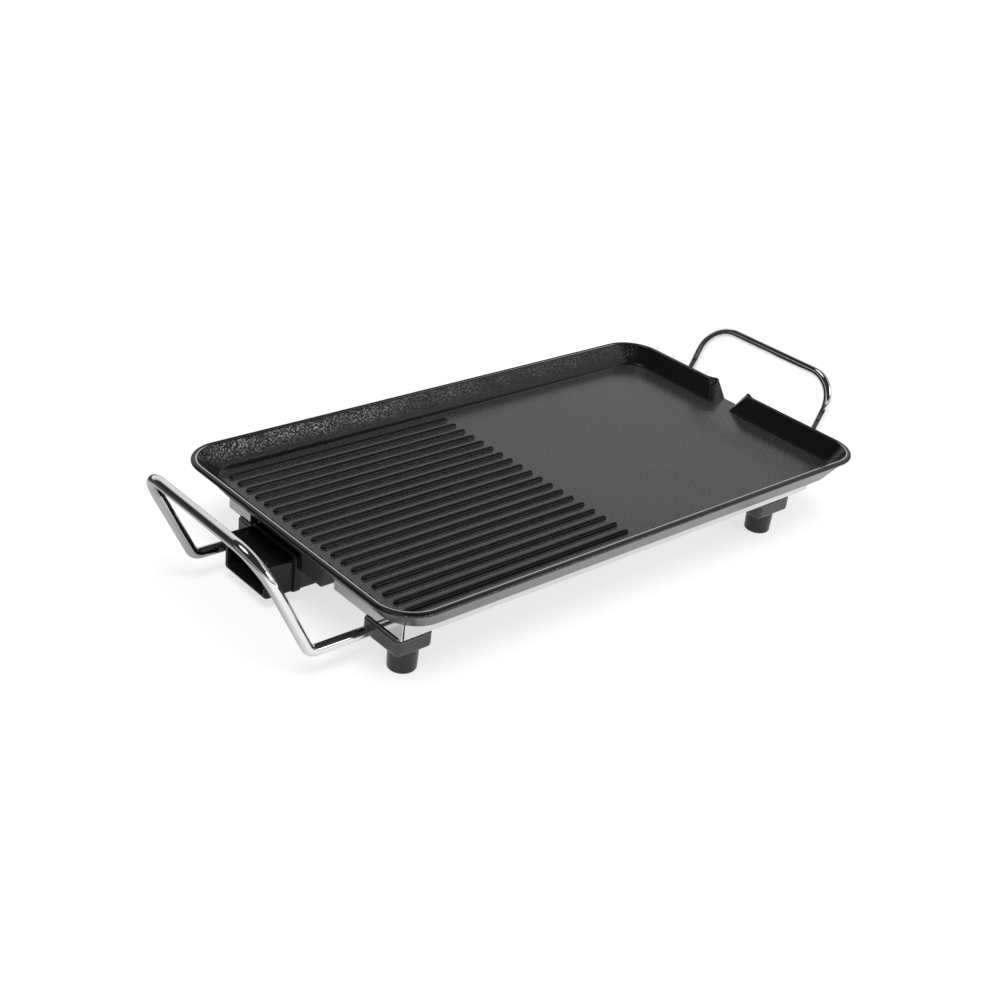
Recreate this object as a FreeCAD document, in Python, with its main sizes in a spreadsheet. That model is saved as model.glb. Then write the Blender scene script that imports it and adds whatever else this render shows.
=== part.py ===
import FreeCAD, Part
import math
import os
import re
import Sketcher

# Electric table grill: a cast plate with its heater lifts off a sheet-metal base on four feet.
# Millimetres. Z is up, X runs along the plate with the spout at +X, the feet stand on Z = 0.

SIZES = {
    # Cast plate
    "plate_length": 470,
    "plate_width": 266,
    "plate_centre": 13.5,
    "rim_top": 72,
    "rim_corner": 30,
    "rim_depth": 3,
    "rim_round": 1.4,
    "rim_overhang": 1.5,
    "rim_wall": 4.2,
    "wall_height": 22.5,
    "flare_left": 18.5,
    "flare_right": 9,
    "flare_side": 16,
    "well_depth": 16,
    "slope_left": 20.5,
    "slope_right": 11.5,
    "slope_side": 16,
    "floor_depth": 4,
    "floor_corner": 16,
    "floor_blend": 4,
    "skirt_wall": 2.5,
    "wall_corner": 26,
    # Ribs in the left half of the well
    "rib_margin_end": 6.5,
    "rib_margin_side": 13.5,
    "rib_length": 202.5,
    "rib_width": 5,
    "rib_height": 2,
    "rib_count": 19,
    # Spout in the right wall
    "spout_y": 12.5,
    "spout_top": 34,
    "spout_foot": 17.5,
    "spout_wall": 3,
    "spout_reach_top": 2.5,
    "spout_reach_foot": 6,
    "cheek_sink_top": 2,
    "cheek_sink_foot": 10.5,
    "cheek_spread_top": 12,
    "cheek_spread_foot": 17,
    "cheek_face": 0.6,
    "cheek_root_top": -4,
    "cheek_root_foot": 8,
    "channel_spread": 12.5,
    "channel_sink_top": 6.5,
    "channel_sink_foot": 16.5,
    "channel_bend_top": 8,
    "channel_bend_foot": 11,
    "channel_root_top": 15,
    "channel_root_foot": 5,
    "channel_past": 9,
    # Under the plate
    "lug_inset": 85,
    "lug_length": 18,
    "lug_wide": 4,
    "lug_drop": 6,
    "lug_gap": 1,
    "boss_start": 31.5,
    "boss_length": 26,
    "boss_wide": 13,
    "boss_drop": 6,
    # Sheet-metal frame
    "frame_inset_left": 27.4,
    "frame_inset_right": 12.5,
    "frame_inset_side": 30.4,
    "frame_corner": 19,
    "band_height": 19,
    "band_gap": 0.2,
    "sheet": 0.8,
    "frame_ledge": 6,
    "seam": 1.4,
    "panel_return": 4,
    "gap_before": 66.5,
    "gap_behind": 36.5,
    "slot_inset": 9.8,
    "slot_length": 10,
    "slot_lift": 3.6,
    "slot_height": 3.7,
    # Pan inside the frame
    "pan_sheet": 0.6,
    "pan_height": 8,
    "pan_play": 0.3,
    "bay_length": 89,
    "bay_margin": 1.5,
    "bay_corner": 6,
    "bay_play": 2.2,
    "bead_left": 114,
    "bead_right": 36,
    "bead_pitch": 60,
    "bead_wide": 10,
    "bead_height": 1.2,
    # Feet
    "foot_inset_left": 14.5,
    "foot_inset_right": 51,
    "leg_inset": 14,
    "leg_inset_plug": 11.4,
    "leg_foot": 20.4,
    "leg_head": 21.6,
    "leg_hollow": 14,
    "leg_round": 1.6,
    "block_ledge": 2,
    "block_length_left": 30,
    "block_inset": 33.7,
    "block_length_right": 37,
    "block_step": 0.6,
    "block_width": 39,
    "block_width_plug": 24.8,
    "plug_draw_in": 12.2,
    "block_depth": 11.6,
    "block_corner": 4,
    "block_round": 3,
    "block_floor": 3,
    "cap_depth": 2.2,
    "cap_ledge": 0.9,
    "notch_pitch": 7.6,
    "notch_length": 2,
    "notch_depth": 1.8,
    "fin_sheet": 2,
    "fin_root": 9,
    "fin_height": 8,
    "fin_tip": 4,
    # Wire handles
    "wire": 8,
    "wire_inset": 17.5,
    "wire_lift": 5,
    "wire_depth": 20,
    "wire_play": 0.05,
    "grip_reach": 47,
    "grip_height": 78.2,
    "grip_start": 7.5,
    "grip_bend": 9,
    "grip_corner": 27,
    # Plug pins and their housing
    "pin_inset": 94.5,
    "pin_spread": 24,
    "pin_lift": 10,
    "pin_wide": 4.2,
    "pin_neck": 3,
    "pin_chamfer": 1,
    "pin_reach": 36.5,
    "pin_tail": 9,
    "bush": 9,
    "bush_front": 6.5,
    "bush_length": 14.5,
    "bush_collar": 1.2,
    "bush_collar_length": 3,
    "housing_depth": 22.6,
    "rear_step": 0.4,
    "rear_near": 54.5,
    "rear_far": 25.8,
    "rear_below": 2,
    "rear_above": 13,
    "rear_corner": 3,
    "hood_reach": 27.4,
    "hood_before": 26.5,
    "hood_behind": 27.2,
    "hood_below": 19.5,
    "hood_above": 10,
    "hood_corner": 4,
    "hood_round": 3.4,
    "sleeve_behind": 25,
    "collar_length": 5,
    "collar_rise": 2,
    "collar_side": 2.5,
    "collar_corner": 5,
    "collar_round": 0.9,
    "mouth_before": 23,
    "mouth_behind": 22,
    "mouth_below": 16.5,
    "mouth_above": 5,
    "mouth_corner": 2.5,
    "key_depth": 1.4,
    "key_wide": 2.4,
    "key_low": 11,
    "key_high": 3,
    "tab_wide": 6.3,
    "tab_sheet": 0.8,
    "tab_reach": 27,
    "tab_drop": 11.4,
    "tab_foot": 6.4,
    "tab_lead": 2,
    "tab_point": 4,
    "tab_play": 0.15,
    "probe_wide": 7,
    "probe_bore": 5.4,
    "probe_length": 62,
    "probe_back": 4,
    "probe_end": 2,
    "probe_round": 2.5,
    # Heater and what holds it
    "heater": 6.5,
    "heater_play": 0.15,
    "heater_start": 93.5,
    "heater_end": 63.5,
    "heater_inset": 58,
    "heater_bend": 20,
    "heater_return": 11,
    "heater_tail": 8,
    "heater_drop": 24,
    "clip_first": 58,
    "clip_pitch": 110,
    "clip_sheet": 1.2,
    "clip_wing": 12,
    "clip_length": 10,
    "clip_hole": 8.6,
    "clip_bend": 2.2,
    "bracket_sheet": 1.2,
    "bracket_shelf": 22,
    "bracket_below": 15,
    "bracket_edge": 0.3,
    "bracket_screw_x": 14,
    "bracket_screw_spread": 42,
    "relief_start": 17,
    "relief_wide": 9,
    # Fasteners
    "screw": 3,
    "screw_length": 4,
    "screw_head": 5.6,
    "screw_head_depth": 2.2,
    "housing_screw_length": 9,
    "housing_screw_before": 42.5,
    "housing_screw_behind": 19,
    "housing_screw_low": 5.5,
    "housing_screw_high": 9.2,
    "hole_play": 0.1,
    "thread_play": 0.05,
    "foot_screw": 4,
    "foot_screw_head": 7.6,
    "foot_screw_head_depth": 2.6,
    "foot_screw_end": 5,
    "foot_hole_play": 0.15,
    "nut_flats": 7,
    "nut_depth": 3.2,
    # How far a cut runs past the piece that it cuts
    "past": 1,
}

# Places and heights that follow from the sizes above
PLACES = {
    "rim_left": "plate_centre - plate_length / 2",
    "rim_right": "plate_centre + plate_length / 2",
    "rim_side": "plate_width / 2",
    "wall_foot": "rim_top - wall_height",
    "floor_top": "rim_top - well_depth",
    "floor_foot": "floor_top - floor_depth",
    "floor_left": "rim_left + slope_left",
    "floor_right": "rim_right - slope_right",
    "floor_side": "rim_side - slope_side",
    "rib_start": "floor_left + rib_margin_end",
    "rib_first": "rib_margin_side - floor_side",
    "rib_pitch": "2 * (floor_side - rib_margin_side) / (rib_count - 1)",
    "frame_left": "rim_left + frame_inset_left",
    "frame_right": "rim_right - frame_inset_right",
    "frame_side": "rim_side - frame_inset_side",
    "frame_head": "floor_foot - band_gap",
    "frame_foot": "frame_head - band_height",
    "pan_foot": "frame_foot + sheet",
    "pan_floor": "pan_foot + pan_sheet",
    "pan_edge": "sheet + pan_play",
    "block_head": "frame_foot - cap_depth",
    "block_foot": "block_head - block_depth",
    "block_side": "frame_side - block_step",
    "block_plug": "block_side - plug_draw_in",
    "block_left": "frame_left - block_ledge",
    "block_right": "frame_right - block_inset",
    "foot_left": "frame_left + foot_inset_left",
    "foot_right": "frame_right - foot_inset_right",
    "foot_side": "block_side - leg_inset",
    "foot_plug": "block_plug - leg_inset_plug",
    "foot_hole": "foot_screw / 2 + foot_hole_play",
    "wire_y": "foot_side - wire_inset",
    "wire_z": "block_foot + wire_lift",
    "grip_x": "plate_length / 2 + grip_reach",
    "grip_z": "wire_z + grip_height",
    "grip_foot": "plate_length / 2 + grip_start",
    "pin_y": "rim_side - pin_inset",
    "pin_z": "block_foot + pin_lift",
    "gap_near": "pin_y - gap_before",
    "gap_far": "pin_y + gap_behind",
    "housing_back": "frame_left + housing_depth",
    "rear_front": "frame_left - rear_step",
    "hood_front": "frame_left - hood_reach",
    "hood_near": "pin_y - hood_before",
    "hood_foot": "pin_z - hood_below",
    "hood_head": "pin_z + hood_above",
    "sleeve_far": "pin_y + sleeve_behind",
    "bush_start": "housing_back - bush_front",
    "pin_end": "housing_back + pin_tail",
    "tab_z": "pin_z - tab_drop",
    "tab_back": "housing_back + bracket_sheet",
    "bush_hole": "bush / 2 + hole_play",
    "probe_hole": "probe_wide / 2 + hole_play",
    "screw_hole": "screw / 2 + hole_play",
    "pilot_hole": "screw / 2 + thread_play",
    "heater_left": "rim_left + heater_start",
    "heater_right": "rim_right - heater_end",
    "heater_side": "rim_side - heater_inset",
    "heater_seat": "heater / 2 + heater_play",
    "heater_z": "floor_foot - heater_seat",
}

doc = FreeCAD.newDocument("TableGrill")
sheet = doc.addObject("Spreadsheet::Sheet", "Sizes")
entries = list(SIZES.items()) + [(name, f"={text}") for name, text in PLACES.items()]
for row, (name, content) in enumerate(entries, start=1):
    sheet.set(f"A{row}", name)
    sheet.set(f"B{row}", str(content))
    sheet.setAlias(f"B{row}", name)
doc.recompute()


# Sizes by name

def formula(text):
    """Put the sheet's name before every size in a formula."""
    def full_name(match):
        word = match.group(0)
        return f"Sizes.{word}" if word in SIZES or word in PLACES else word
    return re.sub(r"[a-z_]+", full_name, str(text))


def number(text):
    """Value of a formula made of sizes."""
    return float(gauge.evalExpression(formula(text)))


gauge = doc.addObject("App::FeaturePython", "Gauge")


# Sketch helpers

def new_body(name):
    body = doc.addObject("PartDesign::Body", name)
    body.Label = name
    return body


def new_sketch(body, name, role="XY_Plane", offset="0"):
    """Sketch on one of the body's own origin planes, moved along the plane's normal."""
    plane = next(item for item in body.Origin.OriginFeatures if item.Role == role)
    sketch = body.newObject("Sketcher::SketchObject", name)
    sketch.AttachmentSupport = [(plane, "")]
    sketch.MapMode = "FlatFace"
    sketch.setExpression("AttachmentOffset.Base.z", formula(offset))
    return sketch


def tie(sketch, kind, edge, end, text):
    """Tie an end of an edge to the sketch origin by a formula."""
    index = sketch.addConstraint(Sketcher.Constraint(kind, -1, 1, edge, end, number(text)))
    sketch.setExpression(f"Constraints[{index}]", formula(text))


def tie_radius(sketch, edge, text):
    index = sketch.addConstraint(Sketcher.Constraint("Radius", edge, number(text)))
    sketch.setExpression(f"Constraints[{index}]", formula(text))


def add_polygon(sketch, corners):
    """Closed outline of straight lines; each corner is a pair of formulas."""
    first = sketch.GeometryCount
    points = [FreeCAD.Vector(number(across), number(along), 0) for across, along in corners]
    total = len(points)
    for place in range(total):
        sketch.addGeometry(Part.LineSegment(points[place], points[(place + 1) % total]), False)
    for place in range(total):
        following = first + (place + 1) % total
        sketch.addConstraint(Sketcher.Constraint("Coincident", first + place, 2, following, 1))
    for place, (across, along) in enumerate(corners):
        tie(sketch, "DistanceX", first + place, 1, across)
        tie(sketch, "DistanceY", first + place, 1, along)


def add_box(sketch, low_x, high_x, low_y, high_y):
    add_polygon(sketch, [(low_x, low_y), (high_x, low_y), (high_x, high_y), (low_x, high_y)])


def add_rounded(sketch, low_x, high_x, low_y, high_y, radius):
    """Rectangle with four equal round corners."""
    first = sketch.GeometryCount
    left, right = number(low_x), number(high_x)
    low, high = number(low_y), number(high_y)
    bend = number(radius)
    straights = [
        ((left + bend, low), (right - bend, low)),
        ((right, low + bend), (right, high - bend)),
        ((right - bend, high), (left + bend, high)),
        ((left, high - bend), (left, low + bend)),
    ]
    centres = [
        (right - bend, low + bend),
        (right - bend, high - bend),
        (left + bend, high - bend),
        (left + bend, low + bend),
    ]
    for (begin, end), centre, quarter in zip(straights, centres, range(4)):
        sketch.addGeometry(Part.LineSegment(FreeCAD.Vector(*begin, 0), FreeCAD.Vector(*end, 0)), False)
        circle = Part.Circle(FreeCAD.Vector(*centre, 0), FreeCAD.Vector(0, 0, 1), bend)
        begin_angle = -math.pi / 2 + quarter * math.pi / 2
        sketch.addGeometry(Part.ArcOfCircle(circle, begin_angle, begin_angle + math.pi / 2), False)
    for place in range(4):
        line = first + 2 * place
        arc = line + 1
        following = first + (2 * place + 2) % 8
        sketch.addConstraint(Sketcher.Constraint("Tangent", line, 2, arc, 1))
        sketch.addConstraint(Sketcher.Constraint("Tangent", arc, 2, following, 1))
        direction = "Horizontal" if place % 2 == 0 else "Vertical"
        sketch.addConstraint(Sketcher.Constraint(direction, line))
        if place:
            sketch.addConstraint(Sketcher.Constraint("Equal", first + 1, arc))
    tie_radius(sketch, first + 1, radius)
    tie(sketch, "DistanceY", first, 1, low_y)
    tie(sketch, "DistanceX", first + 2, 1, high_x)
    tie(sketch, "DistanceY", first + 4, 1, high_y)
    tie(sketch, "DistanceX", first + 6, 1, low_x)


def add_circle(sketch, across, along, radius):
    index = sketch.GeometryCount
    centre = FreeCAD.Vector(number(across), number(along), 0)
    sketch.addGeometry(Part.Circle(centre, FreeCAD.Vector(0, 0, 1), number(radius)), False)
    tie(sketch, "DistanceX", index, 3, across)
    tie(sketch, "DistanceY", index, 3, along)
    tie_radius(sketch, index, radius)


def add_slot(sketch, low_x, high_x, middle_y, radius):
    """Bar along X with round ends."""
    first = sketch.GeometryCount
    left, right = number(low_x) + number(radius), number(high_x) - number(radius)
    middle, bend = number(middle_y), number(radius)
    upright = FreeCAD.Vector(0, 0, 1)
    right_circle = Part.Circle(FreeCAD.Vector(right, middle, 0), upright, bend)
    left_circle = Part.Circle(FreeCAD.Vector(left, middle, 0), upright, bend)
    low, high = middle - bend, middle + bend
    sketch.addGeometry(Part.LineSegment(FreeCAD.Vector(left, low, 0), FreeCAD.Vector(right, low, 0)), False)
    sketch.addGeometry(Part.ArcOfCircle(right_circle, -math.pi / 2, math.pi / 2), False)
    sketch.addGeometry(Part.LineSegment(FreeCAD.Vector(right, high, 0), FreeCAD.Vector(left, high, 0)), False)
    sketch.addGeometry(Part.ArcOfCircle(left_circle, math.pi / 2, 3 * math.pi / 2), False)
    for place in range(4):
        following = first + (place + 1) % 4
        sketch.addConstraint(Sketcher.Constraint("Tangent", first + place, 2, following, 1))
    sketch.addConstraint(Sketcher.Constraint("Horizontal", first))
    tie_radius(sketch, first + 1, radius)
    tie(sketch, "DistanceX", first + 1, 3, f"{high_x} - {radius}")
    tie(sketch, "DistanceY", first + 1, 3, middle_y)
    tie(sketch, "DistanceX", first + 3, 3, f"{low_x} + {radius}")


# Feature helpers

def at_height(edge, height):
    """True for an edge that lies level at one height."""
    box = edge.BoundBox
    return box.ZLength < 0.01 and abs(box.ZMin - number(height)) < 0.01


def pad(body, sketch, length, name, reverse=False, taper=None):
    feature = body.newObject("PartDesign::Pad", name)
    feature.Profile = sketch
    feature.setExpression("Length", formula(length))
    feature.Reversed = reverse
    if taper is not None:
        feature.TaperAngle = taper
    doc.recompute()
    return feature


def pocket(body, sketch, length, name, reverse=False):
    """Cut along the sketch's own normal."""
    before = body.Shape.Volume
    feature = body.newObject("PartDesign::Pocket", name)
    feature.Profile = sketch
    feature.setExpression("Length", formula(length))
    feature.Reversed = not reverse
    doc.recompute()
    if body.Shape.Volume >= before - 1e-6:
        raise RuntimeError(f"{body.Label}: {name} removes nothing")
    return feature


def loft(body, kind, sketches, name):
    feature = body.newObject(f"PartDesign::{kind}Loft", name)
    feature.Profile = sketches[0]
    feature.Sections = sketches[1:]
    feature.Ruled = True
    doc.recompute()
    return feature


def row(body, feature, axis, pitch, count, name):
    pattern = body.newObject("PartDesign::LinearPattern", name)
    pattern.Originals = [feature]
    pattern.Direction = axis
    pattern.setExpression("Length", formula(f"({pitch}) * ({count} - 1)"))
    pattern.setExpression("Occurrences", formula(count))
    body.Tip = pattern
    doc.recompute()
    return pattern


def fillet(body, test, radius, name):
    """Round every edge of the body that passes the test."""
    last = body.Tip
    chosen = [f"Edge{place}" for place, edge in enumerate(last.Shape.Edges, start=1) if test(edge)]
    feature = body.newObject("PartDesign::Fillet", name)
    feature.Base = (last, chosen)
    feature.setExpression("Radius", formula(radius))
    doc.recompute()
    return feature


def coded(name, shape):
    item = doc.addObject("Part::Feature", name)
    item.Label = name
    item.Shape = shape
    return item


# Cast plate

def spout_outline(sketch, root, wall, throat, front, half_wall, half_throat):
    """Plan of the spout: straight wall, arc that turns outward, straight mouth."""
    reach = f"(({throat}) - ({wall}))"
    spread = f"(({half_wall}) - ({half_throat}))"
    bend = f"({reach}^2 + {spread}^2) / (2 * {reach})"
    radius = number(bend)
    middle = number("spout_y")
    corners = [
        (root, half_wall, -1), (wall, half_wall, -1), (throat, half_throat, -1), (front, half_throat, -1),
        (front, half_throat, 1), (throat, half_throat, 1), (wall, half_wall, 1), (root, half_wall, 1),
    ]
    spots = [FreeCAD.Vector(number(across), middle + side * number(half), 0) for across, half, side in corners]

    def cheek(wall_end, throat_end):
        """Arc that leaves the wall square and ends on the mouth's straight side."""
        centre = wall_end + FreeCAD.Vector(radius, 0, 0)
        between = (wall_end - centre).normalize() + (throat_end - centre).normalize()
        return Part.Arc(wall_end, centre + between.normalize() * radius, throat_end)

    for place, start in enumerate(spots):
        end = spots[(place + 1) % 8]
        if place == 1:
            sketch.addGeometry(cheek(start, end), False)
        elif place == 5:
            sketch.addGeometry(cheek(end, start), False)
        else:
            sketch.addGeometry(Part.LineSegment(start, end), False)
    for place in (1, 5):
        starts_first = sketch.getPoint(place, 1).distanceToPoint(spots[place]) < 0.001
        first_end, last_end = (1, 2) if starts_first else (2, 1)
        sketch.addConstraint(Sketcher.Constraint("Coincident", place, first_end, place - 1, 2))
        sketch.addConstraint(Sketcher.Constraint("Coincident", place, last_end, place + 1, 1))
        tie_radius(sketch, place, bend)
    for place in (2, 3, 6, 7):
        sketch.addConstraint(Sketcher.Constraint("Coincident", place, 2, (place + 1) % 8, 1))
    for place, (across, half, side) in enumerate(corners):
        edge, end = (place - 1, 2) if place in (1, 5) else (place, 1)
        tie(sketch, "DistanceX", edge, end, across)
        tie(sketch, "DistanceY", edge, end, f"spout_y + {side} * ({half})")


def spout_cheeks(body):
    """Thick walls that carry the spout out of the right wall."""
    foot = new_sketch(body, "CheekFoot", offset="floor_foot")
    wall = "(rim_right - cheek_sink_foot)"
    front = "(rim_right + spout_reach_foot)"
    inside = "(spout_foot / 2 + spout_wall)"
    spout_outline(foot, "floor_right - cheek_root_foot", wall, f"{front} - cheek_face", front,
                  f"{inside} + cheek_spread_foot", inside)
    head = new_sketch(body, "CheekHead", offset="rim_top")
    wall = "(rim_right - cheek_sink_top)"
    front = "(rim_right + spout_reach_top)"
    inside = "(spout_top / 2 + spout_wall)"
    spout_outline(head, "floor_right - cheek_root_top", wall, f"{front} - cheek_face", front,
                  f"{inside} + cheek_spread_top", inside)
    loft(body, "Additive", [foot, head], "SpoutCheeks")


def spout_channel(body):
    """Way out for what runs off, level with the floor of the well."""
    front = "rim_right + spout_reach_foot + channel_past"
    foot = new_sketch(body, "ChannelFoot", offset="floor_top")
    wall = "(rim_right - channel_sink_foot)"
    spout_outline(foot, f"{wall} - channel_root_foot", wall, f"{wall} + channel_bend_foot", front,
                  "spout_foot / 2 + channel_spread", "spout_foot / 2")
    head = new_sketch(body, "ChannelHead", offset="rim_top")
    wall = "(rim_right - channel_sink_top)"
    spout_outline(head, f"{wall} - channel_root_top", wall, f"{wall} + channel_bend_top", front,
                  "spout_top / 2 + channel_spread", "spout_top / 2")
    loft(body, "Subtractive", [foot, head], "SpoutChannel")


def plate_shell(body):
    """Flared wall with its rim, then the spout's cheeks, then the well cut out of both."""
    foot = new_sketch(body, "WallFoot", offset="wall_foot")
    add_rounded(foot, "rim_left + flare_left", "rim_right - flare_right",
                "flare_side - rim_side", "rim_side - flare_side", "wall_corner")
    head = new_sketch(body, "WallHead", offset="rim_top - rim_depth / 2")
    add_rounded(head, "rim_left + rim_overhang", "rim_right - rim_overhang",
                "rim_overhang - rim_side", "rim_side - rim_overhang", "rim_corner - rim_overhang")
    loft(body, "Additive", [foot, head], "OuterWall")

    lip = new_sketch(body, "RimOutline", offset="rim_top - rim_depth")
    add_rounded(lip, "rim_left", "rim_right", "-rim_side", "rim_side", "rim_corner")
    pad(body, lip, "rim_depth", "Rim")

    def on_rim_outline(edge):
        in_rim = edge.BoundBox.ZMin > number("rim_top - rim_depth") - 0.01 and edge.BoundBox.ZLength < 0.01
        return in_rim and all(outermost(vertex.X, vertex.Y) for vertex in edge.Vertexes)

    def outermost(across, along):
        half_length = number("plate_length / 2")
        return (abs(across - number("plate_centre")) > half_length - 0.01
                or abs(along) > number("rim_side") - 0.01)

    fillet(body, on_rim_outline, "rim_round", "RimRound")
    spout_cheeks(body)

    well_foot = new_sketch(body, "WellFoot", offset="floor_top")
    add_rounded(well_foot, "floor_left", "floor_right", "-floor_side", "floor_side", "floor_corner")
    well_head = new_sketch(body, "WellHead", offset="rim_top")
    add_rounded(well_head, "rim_left + rim_wall", "rim_right - rim_wall",
                "rim_wall - rim_side", "rim_side - rim_wall", "rim_corner - rim_wall")
    loft(body, "Subtractive", [well_foot, well_head], "Well")
    fillet(body, lambda edge: at_height(edge, "floor_top"), "floor_blend", "WellBlend")

    recess = new_sketch(body, "Recess", offset="wall_foot")
    add_rounded(recess, "rim_left + flare_left + skirt_wall", "rim_right - flare_right - skirt_wall",
                "flare_side + skirt_wall - rim_side", "rim_side - flare_side - skirt_wall",
                "wall_corner - skirt_wall")
    pocket(body, recess, "floor_foot - wall_foot", "Underside")


def grill_plate():
    body = new_body("grill_plate")
    plate_shell(body)
    spout_channel(body)

    first_rib = new_sketch(body, "RibOutline", offset="floor_top")
    add_slot(first_rib, "rib_start", "rib_start + rib_length", "rib_first", "rib_width / 2")
    rib = pad(body, first_rib, "rib_height", "Rib", taper=-20)
    row(body, rib, (first_rib, ["V_Axis"]), "rib_pitch", "rib_count", "Ribs")

    lugs = new_sketch(body, "LugOutline", offset="floor_foot")
    middle_y = "(frame_side - sheet - lug_gap - lug_wide / 2)"
    for side_x in (-1, 1):
        for side_y in (-1, 1):
            middle_x = f"{side_x} * (plate_length / 2 - lug_inset)"
            add_box(lugs, f"{middle_x} - lug_length / 2", f"{middle_x} + lug_length / 2",
                    f"{side_y} * {middle_y} - lug_wide / 2", f"{side_y} * {middle_y} + lug_wide / 2")
    pad(body, lugs, "lug_drop", "Lugs", reverse=True)

    boss = new_sketch(body, "BossOutline", offset="floor_foot")
    add_box(boss, "housing_back + boss_start", "housing_back + boss_start + boss_length",
            "pin_y - boss_wide / 2", "pin_y + boss_wide / 2")
    pad(body, boss, "floor_foot - pin_z + boss_drop", "ProbeBoss", reverse=True)
    bore = new_sketch(body, "ProbeBore", "YZ_Plane", "housing_back + boss_start - past")
    add_circle(bore, "pin_y", "pin_z", "probe_hole")
    pocket(body, bore, "boss_length + 2 * past", "ProbeHole")

    holes = new_sketch(body, "ScrewHoles", offset="floor_foot")
    for across, along in clip_screw_places() + bracket_screw_places():
        add_circle(holes, across, along, "pilot_hole")
    pocket(body, holes, "screw_length - past", "ScrewPilots")
    return body


# Heater under the plate

def clip_places():
    """Centres of the clips on the two long runs of the heater."""
    return [(f"(heater_left + clip_first + {place} * clip_pitch)", f"{side} * heater_side")
            for side in (-1, 1) for place in range(3)]


def clip_screw_places():
    return [(across, f"{along} + {wing} * clip_hole")
            for across, along in clip_places() for wing in (-1, 1)]


def bracket_screw_places():
    return [("housing_back + bracket_screw_x", f"pin_y + {side} * bracket_screw_spread / 2")
            for side in (-1, 1)]


def bent_path(corners, bends):
    """Wire path through corner points with a round bend at every inner corner."""
    edges = []
    start = corners[0]
    for corner, following, bend in zip(corners[1:-1], corners[2:], bends):
        arrive = (corner - start).normalize()
        leave = (following - corner).normalize()
        turn = math.acos(arrive.dot(leave))
        reach = bend * math.tan(turn / 2)
        begin = corner - arrive * reach
        end = corner + leave * reach
        inward = (leave - arrive).normalize()
        centre = corner + inward * (bend / math.cos(turn / 2))
        edges.append(Part.makeLine(start, begin))
        edges.append(Part.Arc(begin, centre - inward * bend, end).toShape())
        start = end
    edges.append(Part.makeLine(start, corners[-1]))
    return Part.Wire(edges)


def bent_rod(corners, bends, radius):
    """Round rod along a bent path."""
    path = bent_path(corners, bends)
    first, second = corners[0], corners[1]
    section = Part.Wire([Part.makeCircle(radius, first, second - first)])
    return path.makePipeShell([section], True, True)


def heating_element():
    """Loop under the floor whose two tails drop to the plug pins."""
    near, far = number("pin_y - pin_spread / 2"), number("pin_y + pin_spread / 2")
    low, high = number("pin_z"), number("heater_z")
    tail, drop = number("pin_end"), number("housing_back + heater_drop")
    left, right = number("heater_left"), number("heater_right")
    side = number("heater_side")
    corners = [
        FreeCAD.Vector(tail, near, low),
        FreeCAD.Vector(drop, near, low),
        FreeCAD.Vector(drop, near, high),
        FreeCAD.Vector(left, near, high),
        FreeCAD.Vector(left, -side, high),
        FreeCAD.Vector(right, -side, high),
        FreeCAD.Vector(right, side, high),
        FreeCAD.Vector(left, side, high),
        FreeCAD.Vector(left, far, high),
        FreeCAD.Vector(drop, far, high),
        FreeCAD.Vector(drop, far, low),
        FreeCAD.Vector(tail, far, low),
    ]
    tight, close, wide = number("heater_tail"), number("heater_return"), number("heater_bend")
    bends = [tight, tight, close, wide, wide, wide, close, close, tight, tight]
    return coded("heating_element", bent_rod(corners, bends, number("heater / 2")))


def element_clips():
    """Straps that hold the heater up against the plate, all alike."""
    body = new_body("clip_form")
    inner = "heater_seat"
    outer = "(heater_seat + clip_sheet)"
    under = "floor_foot - clip_sheet"
    profile = new_sketch(body, "ClipProfile", "YZ_Plane")
    add_polygon(profile, [
        (f"-{outer}", f"heater_z - {outer}"), (outer, f"heater_z - {outer}"),
        (outer, under), ("clip_wing", under),
        ("clip_wing", "floor_foot"), (inner, "floor_foot"),
        (inner, f"heater_z - {inner}"), (f"-{inner}", f"heater_z - {inner}"),
        (f"-{inner}", "floor_foot"), ("-clip_wing", "floor_foot"),
        ("-clip_wing", under), (f"-{outer}", under),
    ])
    pad(body, profile, "clip_length", "Strap")
    fillet(body, lambda edge: at_height(edge, f"heater_z - {outer}") and edge.BoundBox.YLength < 0.01,
           "clip_bend", "StrapBends")
    holes = new_sketch(body, "WingHoles", offset=f"{under} - past")
    for wing in (-1, 1):
        add_circle(holes, "clip_length / 2", f"{wing} * clip_hole", "screw_hole")
    pocket(body, holes, "clip_sheet + 2 * past", "WingBores")
    clips = []
    for across, along in clip_places():
        clip = body.Shape.copy()
        clip.translate(FreeCAD.Vector(number(f"{across} - clip_length / 2"), number(along), 0))
        clips.append(clip)
    return coded("element_clips", Part.makeCompound(clips))


def upright_screw(seat, length, wide, head_wide, head_depth):
    """Screw that points up from its seat point, its round head with a cross slot below."""
    shank = Part.makeCylinder(wide / 2, length, seat)
    head = Part.makeCylinder(head_wide / 2, head_depth, seat - FreeCAD.Vector(0, 0, head_depth))
    rim = [edge for edge in head.Edges if abs(edge.BoundBox.ZMax - head.BoundBox.ZMin) < 0.001]
    slot_length, slot_wide, slot_depth = 0.6 * head_wide, 0.14 * head_wide, 0.5 * head_depth
    corner = seat - FreeCAD.Vector(slot_length / 2, slot_wide / 2, head_depth)
    slot = Part.makeBox(slot_length, slot_wide, slot_depth, corner)
    other = slot.copy()
    other.rotate(seat, FreeCAD.Vector(0, 0, 1), 90)
    return shank.fuse(head.makeFillet(0.45 * head_depth, rim)).cut(slot.fuse(other)).removeSplitter()


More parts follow.
